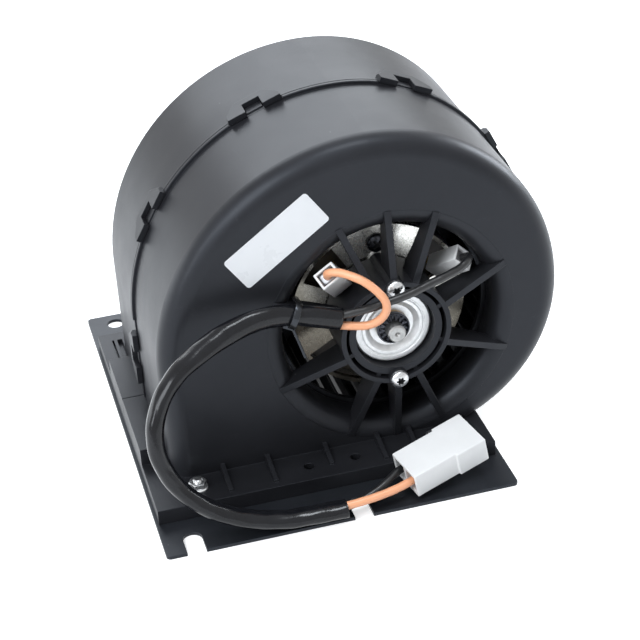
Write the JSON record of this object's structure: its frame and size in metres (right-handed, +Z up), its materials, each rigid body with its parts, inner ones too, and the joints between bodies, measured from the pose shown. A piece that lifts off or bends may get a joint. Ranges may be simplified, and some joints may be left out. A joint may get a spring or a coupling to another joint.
{
  "type": "centrifugal blower",
  "caption": "Black plastic centrifugal blower with a brushed motor in its front inlet, outlet down on a sheet-metal mounting plate, with sleeved leads and a white plug",
  "frame": {"origin": "on the plate's underside, under the middle of the bounding box without the leads and the plug", "axes": "X to the right along the plate's front edge, seen from the motor's side; Y to the back, along the wheel's axis; Z up from the plate"},
  "size_m": [0.1943, 0.2082, 0.1545],
  "materials": {
    "plate_paint": "satin",
    "zinc_steel": "satin",
    "bright_steel": "gloss",
    "yellow_steel": "satin",
    "black_steel": "satin",
    "core_steel": "matte",
    "ferrite": "matte",
    "bronze": "matte",
    "brass": "satin",
    "copper": "satin",
    "carbon": "matte",
    "card_resin": "matte",
    "washer_plastic": "matte",
    "black_plastic": "satin",
    "wheel_plastic": "satin",
    "tie_nylon": "satin",
    "white_nylon": "satin",
    "label_film": "satin",
    "sleeve_vinyl": "satin",
    "orange_vinyl": "satin",
    "black_vinyl": "satin"
  },
  "bodies": {
    "housing": {"mounting_plate": "plate_paint", "plate_studs": "zinc_steel", "foot_nuts": "zinc_steel", "front_shell": "black_plastic", "front_inlet": "black_plastic", "motor_carrier": "black_plastic", "rear_shell": "black_plastic", "rear_inlet": "black_plastic", "label": "label_film", "spider_screws": "zinc_steel", "motor_can": "zinc_steel", "motor_end_plate": "yellow_steel", "motor_tie_screws": "black_steel", "bearing_cup": "bright_steel", "front_bearing": "bronze", "rear_bearing": "bronze", "magnets": "ferrite", "brush_card": "card_resin", "brush_holders": "brass", "brushes": "carbon", "brush_springs": "zinc_steel", "terminal_tabs": "brass", "terminal_housing_left": "white_nylon", "terminal_housing_right": "white_nylon", "cable_tie": "tie_nylon", "cable_sleeve": "sleeve_vinyl", "orange_lead": "orange_vinyl", "black_lead": "black_vinyl", "orange_tail": "orange_vinyl", "black_tail": "black_vinyl", "plug_housing": "white_nylon", "plug_terminals": "brass"},
    "rotor": {"shaft": "bright_steel", "retaining_ring": "black_steel", "armature_core": "core_steel", "armature_windings": "copper", "commutator": "copper", "thrust_washer": "washer_plastic", "impeller": "wheel_plastic", "impeller_front": "wheel_plastic", "impeller_rear": "wheel_plastic", "impeller_clip": "zinc_steel"}
  },
  "joints": [
    {"name": "rotor_spin", "type": "hinge", "parent": "housing", "child": "rotor", "pos_m": [0.01738, 0, 0.0642], "axis": [0, -1, 0], "continuous": true}
  ]
}
